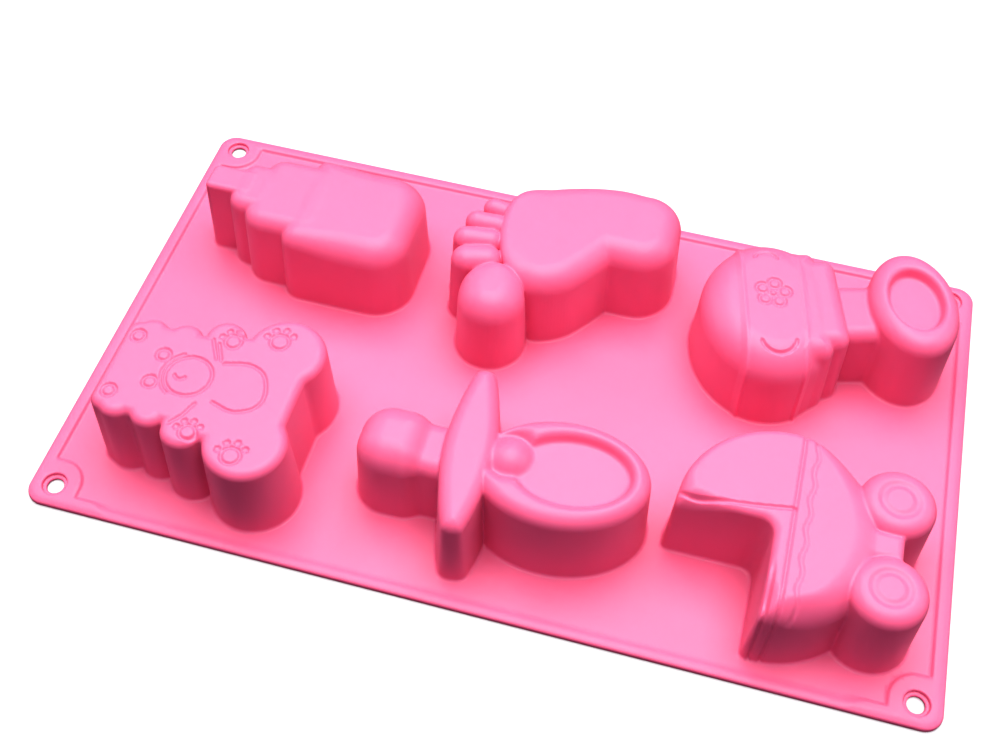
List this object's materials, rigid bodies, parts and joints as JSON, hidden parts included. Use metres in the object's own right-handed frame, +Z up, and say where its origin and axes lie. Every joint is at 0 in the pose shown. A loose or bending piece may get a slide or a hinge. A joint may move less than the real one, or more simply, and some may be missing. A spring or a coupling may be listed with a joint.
{
  "type": "silicone soap mould",
  "caption": "Flexible rectangular mould sheet with separate baby-theme cavities standing up as hollow shells, shown open side down, with a hanging hole in each corner.",
  "frame": {"origin": "centre of the rim outline, on the table the open side lies on", "axes": "+X along the long side, +Y away from the front long side, +Z up to the closed ends of the cavities"},
  "size_m": [0.295, 0.1746, 0.033],
  "materials": {
    "silicone": "satin, slightly translucent silicone"
  },
  "bodies": {
    "root": {"bib_block": "silicone", "border_back": "silicone", "border_front": "silicone", "border_left": "silicone", "border_right": "silicone", "bottle_body": "silicone", "bottle_collar_narrow": "silicone", "bottle_collar_wide": "silicone", "bottle_teat": "silicone", "carriage_axle": "silicone", "carriage_basket": "silicone", "carriage_hood": "silicone", "carriage_trim": "silicone", "carriage_wheel_far": "silicone", "carriage_wheel_near": "silicone", "corner_pad_back_left": "silicone", "corner_pad_back_right": "silicone", "corner_pad_front_left": "silicone", "corner_pad_front_right": "silicone", "foot_big_toe": "silicone", "foot_fourth_toe": "silicone", "foot_little_toe": "silicone", "foot_second_toe": "silicone", "foot_sole": "silicone", "foot_third_toe": "silicone", "pacifier_knob": "silicone", "pacifier_neck": "silicone", "pacifier_ring": "silicone", "pacifier_shield": "silicone", "pacifier_teat": "silicone", "rattle_collar": "silicone", "rattle_globe": "silicone", "rattle_neck": "silicone", "rattle_ring": "silicone", "sheet_bib": "silicone", "sheet_bottle": "silicone", "sheet_carriage": "silicone", "sheet_foot": "silicone", "sheet_pacifier": "silicone", "sheet_rattle": "silicone"}
  },
  "joints": []
}
